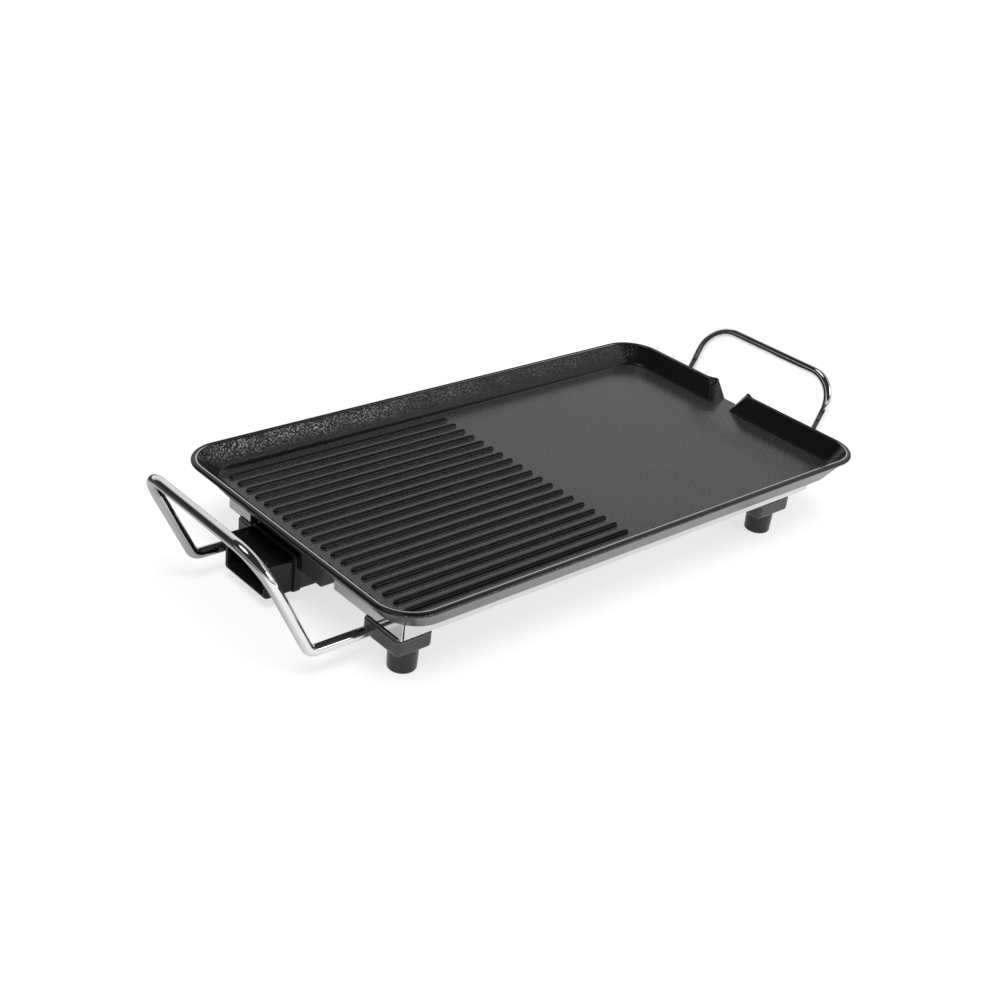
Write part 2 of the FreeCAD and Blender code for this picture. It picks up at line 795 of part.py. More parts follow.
def plate_screws(name, places, washer):
    """Equal screws up into the underside of the plate, each through one sheet."""
    seat = number(f"floor_foot - {washer}")
    length = number("screw_length")
    wide, head_wide, head_depth = number("screw"), number("screw_head"), number("screw_head_depth")
    screws = [upright_screw(FreeCAD.Vector(number(across), number(along), seat), length, wide,
                            head_wide, head_depth) for across, along in places]
    return coded(name, Part.makeCompound(screws))


# Plug pins and what carries them

def housing_screw_places():
    return [("pin_y - housing_screw_before", "pin_z + housing_screw_low"),
            ("pin_y + housing_screw_behind", "pin_z + housing_screw_high")]


def add_back_holes(sketch):
    """Openings for the two bushes, the probe tube and the earth tab."""
    for side in (-1, 1):
        add_circle(sketch, f"pin_y + {side} * pin_spread / 2", "pin_z", "bush_hole")
    add_circle(sketch, "pin_y", "pin_z", "probe_hole")
    add_box(sketch, "pin_y - tab_wide / 2 - tab_play", "pin_y + tab_wide / 2 + tab_play",
            "tab_z - tab_play", "tab_z + tab_sheet + tab_play")


def terminal_bracket():
    """Angle sheet: its shelf is screwed to the plate, its face carries the housing."""
    body = new_body("terminal_bracket")
    profile = new_sketch(body, "Angle", "XZ_Plane", "rear_near - pin_y")
    add_polygon(profile, [
        ("housing_back", "pin_z - bracket_below"), ("tab_back", "pin_z - bracket_below"),
        ("tab_back", "floor_foot - bracket_sheet"),
        ("housing_back + bracket_shelf", "floor_foot - bracket_sheet"),
        ("housing_back + bracket_shelf", "floor_foot"), ("housing_back", "floor_foot"),
    ])
    pad(body, profile, "rear_near + sleeve_behind + bracket_edge", "AnglePlate", reverse=True)
    face = new_sketch(body, "FaceHoles", "YZ_Plane", "housing_back - past")
    add_back_holes(face)
    for along, up in housing_screw_places():
        add_circle(face, along, up, "screw_hole")
    pocket(body, face, "bracket_sheet + 2 * past", "FaceBores")
    top = new_sketch(body, "TopHoles", offset="floor_foot - bracket_sheet - past")
    for across, along in bracket_screw_places():
        add_circle(top, across, along, "screw_hole")
    pocket(body, top, "bracket_sheet + 2 * past", "TopBores")
    relief = new_sketch(body, "Relief", offset="floor_foot - bracket_sheet - past")
    for side in (-1, 1):
        middle = f"pin_y + {side} * pin_spread / 2"
        add_box(relief, "housing_back + relief_start", "housing_back + bracket_shelf + past",
                f"{middle} - relief_wide / 2", f"{middle} + relief_wide / 2")
    pocket(body, relief, "bracket_sheet + 2 * past", "ReliefCuts")
    return body


def terminal_pin(name, side):
    """Plug pin: full size where it is free, thinner inside its bush."""
    forward = FreeCAD.Vector(1, 0, 0)
    tip = FreeCAD.Vector(number("housing_back - pin_reach"), number(f"pin_y + {side} * pin_spread / 2"),
                         number("pin_z"))
    neck = FreeCAD.Vector(number("bush_start - tab_play"), tip.y, tip.z)
    free = Part.makeCylinder(number("pin_wide / 2"), neck.x - tip.x, tip, forward)
    blunt = [edge for edge in free.Edges if edge.BoundBox.XMax < tip.x + 0.01]
    shank = Part.makeCylinder(number("pin_neck / 2"), number("pin_end") - neck.x, neck, forward)
    return coded(name, free.makeChamfer(number("pin_chamfer"), blunt).fuse(shank).removeSplitter())


def pin_insulators():
    """Ceramic bushes with a collar that sits against the back of the bracket."""
    forward = FreeCAD.Vector(1, 0, 0)
    bushes = []
    for side in (-1, 1):
        middle = number(f"pin_y + {side} * pin_spread / 2")
        start = FreeCAD.Vector(number("bush_start"), middle, number("pin_z"))
        collar_start = FreeCAD.Vector(number("tab_back + hole_play"), middle, start.z)
        sleeve = Part.makeCylinder(number("bush / 2"), number("bush_length"), start, forward)
        collar = Part.makeCylinder(number("bush / 2 + bush_collar"), number("bush_collar_length"),
                                   collar_start, forward)
        bore = Part.makeCylinder(number("pin_neck / 2 + thread_play"), number("bush_length"), start, forward)
        bushes.append(sleeve.fuse(collar).cut(bore).removeSplitter())
    return coded("pin_insulators", Part.makeCompound(bushes))


def earth_tab():
    """Flat blade that points into the socket, bent up against the bracket."""
    body = new_body("earth_tab")
    blade = new_sketch(body, "TabOutline", offset="tab_z")
    tip = "housing_back - tab_reach"
    back = "tab_back + tab_sheet"
    add_polygon(blade, [
        (tip, "pin_y - tab_point / 2"), (f"{tip} + tab_lead", "pin_y - tab_wide / 2"),
        (back, "pin_y - tab_wide / 2"), (back, "pin_y + tab_wide / 2"),
        (f"{tip} + tab_lead", "pin_y + tab_wide / 2"), (tip, "pin_y + tab_point / 2"),
    ])
    pad(body, blade, "tab_sheet", "Blade")
    foot = new_sketch(body, "TabFoot", "YZ_Plane", "tab_back")
    add_box(foot, "pin_y - tab_wide / 2", "pin_y + tab_wide / 2", "tab_z", "tab_z + tab_foot")
    pad(body, foot, "tab_sheet", "Foot")
    return body


def probe_tube():
    """Blind tube between the pins that takes the probe of the plug."""
    start = FreeCAD.Vector(number("housing_back - probe_back"), number("pin_y"), number("pin_z"))
    forward = FreeCAD.Vector(1, 0, 0)
    length = number("probe_length")
    tube = Part.makeCylinder(number("probe_wide / 2"), length, start, forward)
    bore = Part.makeCylinder(number("probe_bore / 2"), length - number("probe_end"), start, forward)
    blunt = [edge for edge in tube.Edges if edge.BoundBox.XMin > start.x + length - 0.01]
    return coded("probe_tube", tube.makeFillet(number("probe_round"), blunt).cut(bore))


# Socket housing, in two mouldings that meet at the collar

def socket_hood():
    """Front moulding: open hood with a collar at its back end."""
    body = new_body("socket_hood")
    collar = new_sketch(body, "CollarOutline", "YZ_Plane", "rear_front - collar_length")
    add_rounded(collar, "hood_near - collar_side", "pin_y + rear_far", "hood_foot",
                "hood_head + collar_rise", "collar_corner")
    pad(body, collar, "collar_length", "Collar")
    fillet(body, lambda edge: edge.BoundBox.XMax < number("rear_front - collar_length") + 0.01,
           "collar_round", "CollarRound")
    hood = new_sketch(body, "HoodOutline", "YZ_Plane", "hood_front")
    add_rounded(hood, "hood_near", "pin_y + hood_behind", "hood_foot", "hood_head", "hood_corner")
    pad(body, hood, "rear_front - collar_length - hood_front", "Hood")
    waist = new_sketch(body, "WaistOutline", "YZ_Plane", "rear_front - collar_length")
    add_rounded(waist, "hood_near", "sleeve_far", "hood_foot", "hood_head", "hood_corner")
    pad(body, waist, "collar_length", "Waist")

    def upper_front_edge(edge):
        box = edge.BoundBox
        above = box.ZMin > number("hood_head - hood_corner") - 0.1
        return abs(box.XMax - number("hood_front")) < 0.01 and above

    fillet(body, upper_front_edge, "hood_round", "HoodRound")
    mouth = new_sketch(body, "MouthOutline", "YZ_Plane", "hood_front - past")
    add_mouth(mouth)
    pocket(body, mouth, "hood_reach + collar_length", "Mouth")
    grooves = new_sketch(body, "KeyGrooves", "YZ_Plane", "hood_front - past")
    for drop in ("key_low", "key_high"):
        add_box(grooves, "pin_y - mouth_before - key_depth", "pin_y - mouth_before + past",
                f"pin_z - {drop}", f"pin_z - {drop} + key_wide")
    pocket(body, grooves, "hood_reach + collar_length", "KeyCuts")
    return body


def add_mouth(sketch):
    """Opening that takes the plug, the same in both mouldings."""
    add_rounded(sketch, "pin_y - mouth_before", "pin_y + mouth_behind", "pin_z - mouth_below",
                "pin_z + mouth_above", "mouth_corner")


def socket_back():
    """Rear moulding: end of the socket and the bar that is screwed to the bracket."""
    body = new_body("socket_back")
    sleeve = new_sketch(body, "SleeveOutline", "YZ_Plane", "rear_front")
    add_rounded(sleeve, "hood_near", "sleeve_far", "hood_foot", "hood_head", "hood_corner")
    pad(body, sleeve, "housing_back - rear_front", "Sleeve")
    bar = new_sketch(body, "BarOutline", "YZ_Plane", "rear_front")
    add_rounded(bar, "pin_y - rear_near", "pin_y + rear_far", "pin_z - rear_below", "pin_z + rear_above",
                "rear_corner")
    pad(body, bar, "housing_back - rear_front", "Bar")
    mouth = new_sketch(body, "MouthEnd", "YZ_Plane", "rear_front - past")
    add_mouth(mouth)
    pocket(body, mouth, "bush_start - rear_front + past", "Mouth")
    back = new_sketch(body, "BackHoles", "YZ_Plane", "bush_start - past")
    add_back_holes(back)
    pocket(body, back, "bush_front + 2 * past", "BackCuts")
    pilots = new_sketch(body, "ScrewPilots", "YZ_Plane", "housing_back - housing_screw_length")
    for along, up in housing_screw_places():
        add_circle(pilots, along, up, "pilot_hole")
    pocket(body, pilots, "housing_screw_length + past", "PilotCuts")
    return body


def housing_screws():
    """Two screws that come through the bracket from behind."""
    origin = FreeCAD.Vector(0, 0, 0)
    screw = upright_screw(origin, number("housing_screw_length"), number("screw"), number("screw_head"),
                          number("screw_head_depth"))
    screw.rotate(origin, FreeCAD.Vector(0, 1, 0), -90)
    screws = []
    for along, up in housing_screw_places():
        placed = screw.copy()
        placed.translate(FreeCAD.Vector(number("tab_back"), number(along), number(up)))
        screws.append(placed)
    return coded("housing_screws", Part.makeCompound(screws))


# Base frame

def side_band():
    """One strip along both sides and the right end, with a ledge turned in below."""
    body = new_body("side_band")
    beyond = "frame_left - 3 * frame_corner"
    outer = new_sketch(body, "BandOutline", offset="frame_foot")
    add_rounded(outer, beyond, "frame_right", "-frame_side", "frame_side", "frame_corner")
    pad(body, outer, "band_height", "BandBlock")
    inner = new_sketch(body, "BandInside", offset="pan_foot")
    add_rounded(inner, f"{beyond} - past", "frame_right - sheet", "sheet - frame_side", "frame_side - sheet",
                "frame_corner - sheet")
    pocket(body, inner, "band_height", "BandHollow")
    under = new_sketch(body, "LedgeInside", offset="frame_foot - past")
    add_rounded(under, f"{beyond} - past", "frame_right - frame_ledge", "frame_ledge - frame_side",
                "frame_side - frame_ledge", "frame_corner - frame_ledge")
    pocket(body, under, "sheet + 2 * past", "LedgeOpening")
    end = new_sketch(body, "OpenEnd", offset="frame_foot - past")
    add_box(end, f"{beyond} - 2 * past", "frame_left + sheet + seam", "-frame_side - past",
            "frame_side + past")
    pocket(body, end, "band_height + 2 * past", "OpenEndCut")
    slot = new_sketch(body, "SideSlot", "XZ_Plane", "frame_side - frame_ledge")
    add_box(slot, "frame_right - slot_inset - slot_length", "frame_right - slot_inset",
            "frame_foot + slot_lift", "frame_foot + slot_lift + slot_height")
    pocket(body, slot, "frame_ledge + past", "SideSlotCut")
    return body


def end_panel(name, inner, outer, side):
    """Flat end sheet with a short return beside the open gap."""
    body = new_body(name)
    outline = new_sketch(body, "PanelOutline", offset="frame_foot")
    add_polygon(outline, [
        ("frame_left", outer), ("frame_left + sheet", outer),
        ("frame_left + sheet", f"{inner} + {side} * sheet"),
        ("frame_left + panel_return", f"{inner} + {side} * sheet"),
        ("frame_left + panel_return", inner), ("frame_left", inner),
    ])
    pad(body, outline, "band_height", "Panel")
    return body


def base_pan():
    """Shallow sheet pan on the frame's ledge, open where the plug housing drops through."""
    body = new_body("base_pan")
    outer = new_sketch(body, "PanOutline", offset="pan_foot")
    add_rounded(outer, "frame_left + pan_edge", "frame_right - pan_edge", "pan_edge - frame_side",
                "frame_side - pan_edge", "frame_corner - pan_edge")
    pad(body, outer, "pan_height", "PanBlock")
    inner = new_sketch(body, "PanInside", offset="pan_floor")
    inset = "(pan_edge + pan_sheet)"
    add_rounded(inner, f"frame_left + {inset}", f"frame_right - {inset}", f"{inset} - frame_side",
                f"frame_side - {inset}", f"frame_corner - {inset}")
    pocket(body, inner, "pan_height", "PanHollow")
    bay = new_sketch(body, "PlugBay", offset="frame_foot")
    add_rounded(bay, "frame_left - bay_corner", "frame_left + bay_length", "gap_near - bay_margin",
                "pin_y + rear_far + bay_play", "bay_corner")
    pocket(body, bay, "pan_height + band_height", "PlugBayCut")
    notch = new_sketch(body, "ReturnNotch", offset="frame_foot")
    add_box(notch, "frame_left", "frame_left + panel_return + bay_margin", "pin_y", "gap_far + bay_margin")
    pocket(body, notch, "pan_height + band_height", "ReturnNotchCut")
    bores = new_sketch(body, "PanBores", offset="frame_foot")
    for end, where in FEET:
        across, along = leg_place(end, where)
        add_circle(bores, across, along, "foot_hole")
    pocket(body, bores, "sheet + pan_sheet + past", "PanBoreCuts")
    beads = new_sketch(body, "PanBeads", offset="pan_floor")
    for place in (-1, 0, 1):
        add_slot(beads, "frame_left + bead_left", "frame_right - bead_right", f"{place} * bead_pitch",
                 "bead_wide / 2")
    pad(body, beads, "bead_height", "PanBeadPads", taper=-30)
    return body


# Feet

FEET = [("left", "near"), ("left", "far"), ("right", "near"), ("right", "far")]


def beside_plug(end, where):
    return (end, where) == ("left", "far")


def leg_place(end, where):
    """Centre of a leg. The foot beside the plug is drawn in."""
    side = -1 if where == "near" else 1
    along = "foot_plug" if beside_plug(end, where) else "foot_side"
    return f"foot_{end}", f"{side} * {along}"


def block_sides(end, where):
    """Low and high X of a foot's block, then its outer and its inner Y."""
    side = -1 if where == "near" else 1
    outside, width = ("block_plug", "block_width_plug") if beside_plug(end, where) else ("block_side", "block_width")
    outer, inner = f"{side} * {outside}", f"{side} * ({outside} - {width})"
    if end == "left":
        return "block_left", "block_left + block_length_left", outer, inner
    return "block_right - block_length_right", "block_right", outer, inner


def add_block(sketch, end, where, inset, corner):
    """Plan of a foot's block, drawn in by an inset all round."""
    low_x, high_x, outer, inner = block_sides(end, where)
    low_y, high_y = (outer, inner) if where == "near" else (inner, outer)
    add_rounded(sketch, f"{low_x} + {inset}", f"{high_x} - {inset}", f"{low_y} + {inset}",
                f"{high_y} - {inset}", corner)


def foot(end, where):
    """Moulded block under the frame with a hollow round leg and a bore for the handle wire."""
    body = new_body(f"foot_{end}_{where}")
    leg_x, leg_y = leg_place(end, where)
    block = new_sketch(body, "BlockOutline", offset="block_foot")
    add_block(block, end, where, "0", "block_corner")
    pad(body, block, "block_depth", "Block")
    fillet(body, lambda edge: at_height(edge, "block_foot"), "block_round", "BlockRound")
    leg_foot = new_sketch(body, "LegFoot")
    add_circle(leg_foot, leg_x, leg_y, "leg_foot / 2")
    leg_head = new_sketch(body, "LegHead", offset="block_foot + past")
    add_circle(leg_head, leg_x, leg_y, "leg_head / 2")
    loft(body, "Additive", [leg_foot, leg_head], "Leg")
    fillet(body, lambda edge: at_height(edge, "0"), "leg_round", "LegRound")
    if not beside_plug(end, where):
        foot_fin(body, end, where)
    hollow = new_sketch(body, "LegHollow")
    add_circle(hollow, leg_x, leg_y, "leg_hollow / 2")
    pocket(body, hollow, "block_foot - block_floor", "LegHollowCut")
    hole = new_sketch(body, "ScrewHole")
    add_circle(hole, leg_x, leg_y, "foot_hole")
    pocket(body, hole, "block_head + past", "ScrewHoleCut")
    mouth = "block_left - past" if end == "left" else "block_right + past"
    bore = new_sketch(body, "WireBore", "YZ_Plane", mouth)
    add_circle(bore, "-wire_y" if where == "near" else "wire_y", "wire_z", "wire / 2 + wire_play")
    pocket(body, bore, "wire_depth + past", "WireBoreCut", reverse=end == "right")
    return body


def foot_fin(body, end, where):
    """Upright web between the leg and the inner side of the block."""
    side = -1 if where == "near" else 1
    leg_x, _ = leg_place(end, where)
    fin = new_sketch(body, "Fin", "YZ_Plane", f"{leg_x} - fin_sheet / 2")
    root = f"{side} * (foot_side - fin_root)"
    tip = f"{side} * (block_side - block_width + fin_tip)"
    add_polygon(fin, [(root, "block_foot - fin_height"), (root, "block_foot + past"),
                      (tip, "block_foot + past"), (tip, "block_foot - fin_sheet")])
    pad(body, fin, "fin_sheet", "FinWeb")


def foot_cap(end, where):
    """Thin upper plate of the foot, set back a little so that a ledge shows."""
    body = new_body(f"foot_cap_{end}_{where}")
    leg_x, leg_y = leg_place(end, where)
    outline = new_sketch(body, "CapOutline", offset="block_head")
    add_block(outline, end, where, "cap_ledge", "block_corner - cap_ledge")
    pad(body, outline, "cap_depth", "CapPlate")
    notches = new_sketch(body, "Notches", offset="block_head - past")
    side = -1 if where == "near" else 1
    outer = block_sides(end, where)[2]
    middle_y = f"{outer} - {side} * (cap_ledge + notch_depth / 2)"
    for place in (-1, 1):
        middle_x = f"{leg_x} + {place} * notch_pitch / 2"
        add_box(notches, f"{middle_x} - notch_length / 2", f"{middle_x} + notch_length / 2",
                f"{middle_y} - notch_depth / 2", f"{middle_y} + notch_depth / 2")
    pocket(body, notches, "cap_depth + 2 * past", "NotchCuts")
    hole = new_sketch(body, "CapHole", offset="block_head - past")
    add_circle(hole, leg_x, leg_y, "foot_hole")
    pocket(body, hole, "cap_depth + 2 * past", "CapHoleCut")
    return body


def foot_fasteners():
    """Screws up through the hollow legs and their nuts on the floor of the pan."""
    seat, nut_foot = number("block_foot - block_floor"), number("pan_floor")
    length = nut_foot + number("foot_screw_end") - seat
    wide, head_wide = number("foot_screw"), number("foot_screw_head")
    head_depth = number("foot_screw_head_depth")
    screws = []
    nuts = []
    for end, where in FEET:
        across, along = (number(place) for place in leg_place(end, where))
        screws.append(upright_screw(FreeCAD.Vector(across, along, seat), length, wide, head_wide, head_depth))
        nuts.append(hexagon_nut(FreeCAD.Vector(across, along, nut_foot)))
    coded("foot_screws", Part.makeCompound(screws))
    coded("foot_nuts", Part.makeCompound(nuts))


def hexagon_nut(middle):
    depth = number("nut_depth")
    reach = number("nut_flats") / 2 / math.cos(math.pi / 6)
    turns = [place * math.pi / 3 for place in range(7)]
    corners = [middle + FreeCAD.Vector(reach * math.cos(turn), reach * math.sin(turn), 0) for turn in turns]
    block = Part.Face(Part.makePolygon(corners)).extrude(FreeCAD.Vector(0, 0, depth))
    return block.cut(Part.makeCylinder(number("foot_screw / 2 + thread_play"), depth, middle))


# Handles

def handle(name, side, block_end):
    """One bent wire: two arms out of the feet, two leaning legs and the grip."""
    def spot(across, along, up):
        return FreeCAD.Vector(side * across, along, up)

    start = number(f"{block_end} - wire_depth + past")
    low, high = number("wire_z"), number("grip_z")
    bottom, top = number("grip_foot"), number("grip_x")
    width = number("wire_y")
    corners = [
        spot(start, -width, low), spot(bottom, -width, low), spot(top, -width, high),
        spot(top, width, high), spot(bottom, width, low), spot(start, width, low),
    ]
    bends = [number("grip_bend"), number("grip_corner"), number("grip_corner"), number("grip_bend")]
    return coded(name, bent_rod(corners, bends, number("wire / 2")))


grill_plate()
heating_element()
element_clips()
plate_screws("clip_screws", clip_screw_places(), "clip_sheet")
terminal_bracket()
plate_screws("bracket_screws", bracket_screw_places(), "bracket_sheet")
terminal_pin("terminal_pin_near", -1)
terminal_pin("terminal_pin_far", 1)
pin_insulators()
earth_tab()
probe_tube()
socket_hood()
socket_back()
housing_screws()
side_band()
end_panel("end_panel_near", "gap_near", "-frame_side", -1)
end_panel("end_panel_far", "gap_far", "frame_side", 1)
base_pan()
for end, where in FEET:
    foot(end, where)
    foot_cap(end, where)
foot_fasteners()
handle("handle_left", -1, "-block_left")
handle("handle_right", 1, "block_right")
doc.recompute()


# Check every object, then write one file per piece

for item in doc.Objects:
    if "Invalid" in item.State or "Error" in item.State:
        raise RuntimeError(f"{item.Name} did not build: {item.State}")
pieces = [item for item in doc.Objects
          if item.isDerivedFrom("PartDesign::Body") or item.TypeId == "Part::Feature"]
os.makedirs("parts", exist_ok=True)
for item in pieces:
    if item.Label == "clip_form":
        continue
    shape = item.Shape
    if shape.isNull() or not shape.isValid():
        raise RuntimeError(f"{item.Label} has no valid shape")
    shape.exportStep(os.path.join("parts", f"{item.Label}.step"))
    print(f"{item.Label}: {len(shape.Solids)} solids, {shape.Volume:.0f} cubic mm")
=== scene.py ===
import bpy
import math
from types import SimpleNamespace
from mathutils import Matrix, Vector

# Looks of the table grill. Metres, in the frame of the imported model.

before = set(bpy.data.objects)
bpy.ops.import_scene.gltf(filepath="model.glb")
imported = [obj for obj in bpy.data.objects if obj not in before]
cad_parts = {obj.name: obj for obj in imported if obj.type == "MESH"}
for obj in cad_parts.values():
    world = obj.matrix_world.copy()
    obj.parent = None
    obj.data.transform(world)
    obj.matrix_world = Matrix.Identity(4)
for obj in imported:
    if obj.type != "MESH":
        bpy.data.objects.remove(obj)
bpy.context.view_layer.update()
scene = bpy.context.scene

# Outline and heights of the plate, for marks that follow its rim, its walls and its ribs
PLATE_CENTRE = 0.0135
PLATE_LENGTH = 0.470
PLATE_WIDTH = 0.266
RIM_CORNER = 0.030
RIM_TOP = 0.072
RIM_DEPTH = 0.003
LIP_START = 0.0033
FLOOR_TOP = 0.056
RIB_TOP = 0.058
RIB_FIRST = 0.1035
RIB_PITCH = 0.0115

# Colours of the plate's coating
BLACK = (0.0045, 0.0045, 0.005)
BLACK_PATCHES = (0.009, 0.009, 0.0095)
FLOOR_SPECKS = (0.05, 0.05, 0.051)
# Painted highlight: light glints of the pitted coating, high on the far wall
WALL_GLINTS_PAINTED = (0.24, 0.24, 0.25)
# Outside of the plate: grey as painted reflection, darker at the left end as painted shade
OUTSIDE_PAINTED_SHADE_AT_LEFT = (0.030, 0.030, 0.031)
OUTSIDE_PAINTED_REFLECTION = (0.075, 0.075, 0.077)
# Painted highlight along the plate's edges
PAINTED_EDGE_HIGHLIGHT = (0.20, 0.20, 0.20)
BARE_LIP = (0.55, 0.55, 0.56)

# Leans of the shading normal: outward on the rim, along Z below it, along X and Y on the ribs,
# and downward on the right handle
NEAR_RIM_LEAN = 0.12
FAR_RIM_LEAN = -0.32
LIP_LEAN = -0.32
UNDER_EDGE_LEAN = -0.45
RIB_LEAN = -0.34
RIB_LINE_LEAN = 0.22
RIGHT_HANDLE_LEAN = 0.28

# Height just under a foot's block, from where its leg is darker as painted shade
LEG_SHADE = 0.018

# Radius of the shading along edges
EDGE_RADIUS = 0.0008

# The floor, and its level for the camera and for gloss, where 1 is white
FLOOR_REACH = 6
FLOOR_LEVEL = 1.25

# Levels of the surroundings, where 1 is white: for the camera, for matt surfaces and for gloss
SEEN_LEVEL = 1.0
EVEN_LEVEL = 0.5
DARK_LEVEL = 0.03
BACKDROP_LEVEL = 0.73
SOFTBOX_LEVEL = 1.6
STRIP_LEVEL = 0.7
LOW_BAND_LEVEL = 0.9

# Directions in the surroundings
FAR_RIGHT = (1, 0.5, 0)
FAR_LEFT = (-0.60, 0.78, 0.0)
LOW_RIGHT = (1, 0.0, 0.15)
ABOVE = (-0.35, 0.15, 1.0)


# Node helpers

class Nodes:
    """Short way to add nodes to one tree."""

    def __init__(self, tree):
        self.nodes = tree.nodes
        self.links = tree.links

    def add(self, kind, **values):
        """Add a node and set its properties."""
        node = self.nodes.new(kind)
        for key, value in values.items():
            setattr(node, key, value)
        return node

    def link(self, source, target):
        self.links.new(source, target)

    def fill(self, socket, value):
        """Link a socket where the value comes from a node, or set it where the value is plain."""
        if hasattr(value, "is_output"):
            self.link(value, socket)
        else:
            socket.default_value = value

    def parts(self, vector):
        """The three parts of a vector, by their letters."""
        node = self.add("ShaderNodeSeparateXYZ")
        self.link(vector, node.inputs[0])
        return node.outputs

    def maths(self, operation, first, second):
        node = self.add("ShaderNodeMath", operation=operation)
        self.fill(node.inputs[0], first)
        self.fill(node.inputs[1], second)
        return node.outputs["Value"]

    def times(self, *values):
        """Product of two or more values."""
        product = values[0]
        for value in values[1:]:
            product = self.maths("MULTIPLY", product, value)
        return product

    def blend(self, share, first, second):
        """Blend two shaders."""
        node = self.add("ShaderNodeMixShader")
        for place, value in enumerate((share, first, second)):
            self.link(value, node.inputs[place])
        return node.outputs[0]


class Shader(Nodes):
    """Node material around one Principled shader."""

    def __init__(self, name):
        self.material = bpy.data.materials.new(name)
        self.material.use_nodes = True
        super().__init__(self.material.node_tree)
        self.surface = self.nodes["Principled BSDF"]
        self.output = self.nodes["Material Output"]

    def position(self):
        """Place on the object in its own metres, which rides along when the object moves."""
        return self.add("ShaderNodeTexCoord").outputs["Object"]

    def facing(self):
        """Direction that the surface looks in."""
        return self.add("ShaderNodeNewGeometry").outputs["Normal"]

    def combine(self, **parts):
        """Vector from the parts that are named; the others are 0."""
        node = self.add("ShaderNodeCombineXYZ")
        for letter, value in parts.items():
            self.link(value, node.inputs[letter])
        return node.outputs[0]

    def noise(self, scale, detail=3.0, roughness=0.55, stretch=(1, 1, 1)):
        """Noise over the object's own metres; stretch scales its coordinates along each axis."""
        mapping = self.add("ShaderNodeMapping")
        mapping.inputs["Scale"].default_value = stretch
        self.link(self.position(), mapping.inputs["Vector"])
        node = self.add("ShaderNodeTexNoise")
        node.inputs["Scale"].default_value = scale
        node.inputs["Detail"].default_value = detail
        node.inputs["Roughness"].default_value = roughness
        self.link(mapping.outputs["Vector"], node.inputs["Vector"])
        return node.outputs["Fac"]

    def spread(self, value, low, high, to_low, to_high):
        """Carry a value from one range over to another."""
        node = self.add("ShaderNodeMapRange")
        node.inputs["From Min"].default_value = low
        node.inputs["From Max"].default_value = high
        node.inputs["To Min"].default_value = to_low
        node.inputs["To Max"].default_value = to_high
        self.link(value, node.inputs["Value"])
        return node.outputs["Result"]

    def mask(self, value, off, on):
        """0 where the value is at off, 1 where it is at on, and evenly in between."""
        return self.spread(value, off, on, 0, 1)

    def band(self, value, low_off, low_on, high_on, high_off):
        """1 between the two middle values and 0 outside the two outer ones."""
        return self.times(self.mask(value, low_off, low_on), self.mask(value, high_off, high_on))

    def mix(self, factor, first, second):
        """Blend two colours."""
        node = self.add("ShaderNodeMix", data_type="RGBA")
        for socket, colour in ((node.inputs["A"], first), (node.inputs["B"], second)):
            self.fill(socket, colour if hasattr(colour, "is_output") else (*colour, 1))
        self.link(factor, node.inputs["Factor"])
        return node.outputs["Result"]

    def mix_value(self, factor, first, second):
        """Blend two numbers."""
        node = self.add("ShaderNodeMix", data_type="FLOAT")
        self.fill(node.inputs[2], first)
        self.fill(node.inputs[3], second)
        self.link(factor, node.inputs["Factor"])
        return node.outputs[0]

    def vector(self, operation, first, second=None):
        node = self.add("ShaderNodeVectorMath", operation=operation)
        self.fill(node.inputs[0], first)
        if second is not None:
            self.fill(node.inputs[1], second)
        return node.outputs["Vector"]

    def colour(self, value):
        self.link(value, self.surface.inputs["Base Color"])

    def roughness(self, value):
        self.link(value, self.surface.inputs["Roughness"])

    def bump(self, height, strength, distance, normal=None):
        """Relief on the surface, over another shading normal where one is given."""
        node = self.add("ShaderNodeBump")
        self.fill(node.inputs["Strength"], strength)
        node.inputs["Distance"].default_value = distance
        self.link(height, node.inputs["Height"])
        if normal is not None:
            self.link(normal, node.inputs["Normal"])
        self.link(node.outputs["Normal"], self.surface.inputs["Normal"])

    def round_edges(self, samples):
        """Shading normal that turns softly round edges."""
        bevel = self.add("ShaderNodeBevel", samples=samples)
        bevel.inputs["Radius"].default_value = EDGE_RADIUS
        return bevel.outputs["Normal"]

    def painted_highlight_edges(self):
        """Mask along edges, where a painted highlight goes."""
        dot = self.add("ShaderNodeVectorMath", operation="DOT_PRODUCT")
        self.link(self.round_edges(samples=4), dot.inputs[0])
        self.link(self.facing(), dot.inputs[1])
        return self.mask(dot.outputs["Value"], 0.995, 0.93)


def dress(nodes, material):
    """Give CAD nodes a material in all their slots."""
    for name in nodes:
        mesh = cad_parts[name].data
        if not mesh.materials:
            mesh.materials.append(material)
        for place in range(len(mesh.materials)):
            mesh.materials[place] = material


def toned(colour, factor):
    """The same colour, lighter or darker."""
    return tuple(factor * part for part in colour)


# Coating of the plate

def rim_distance(shader):
    """Distance inward from the rim's outline and the level direction that points outward there."""
    moved = shader.vector("SUBTRACT", shader.position(), (PLATE_CENTRE, 0, 0))
    size = shader.vector("ABSOLUTE", moved)
    core = (PLATE_LENGTH / 2 - RIM_CORNER, PLATE_WIDTH / 2 - RIM_CORNER, 1)
    past_core = shader.vector("SUBTRACT", size, core)
    beyond = shader.vector("MAXIMUM", past_core, (0, 0, 0))
    length = shader.add("ShaderNodeVectorMath", operation="LENGTH")
    shader.link(beyond, length.inputs[0])
    parts = shader.parts(past_core)
    inner = shader.maths("MINIMUM", shader.maths("MAXIMUM", parts["X"], parts["Y"]), 0.0)
    reach = shader.maths("ADD", length.outputs["Value"], inner)
    outward = shader.vector("MULTIPLY", shader.vector("NORMALIZE", beyond), shader.vector("SIGN", moved))
    return shader.maths("SUBTRACT", RIM_CORNER, reach), outward


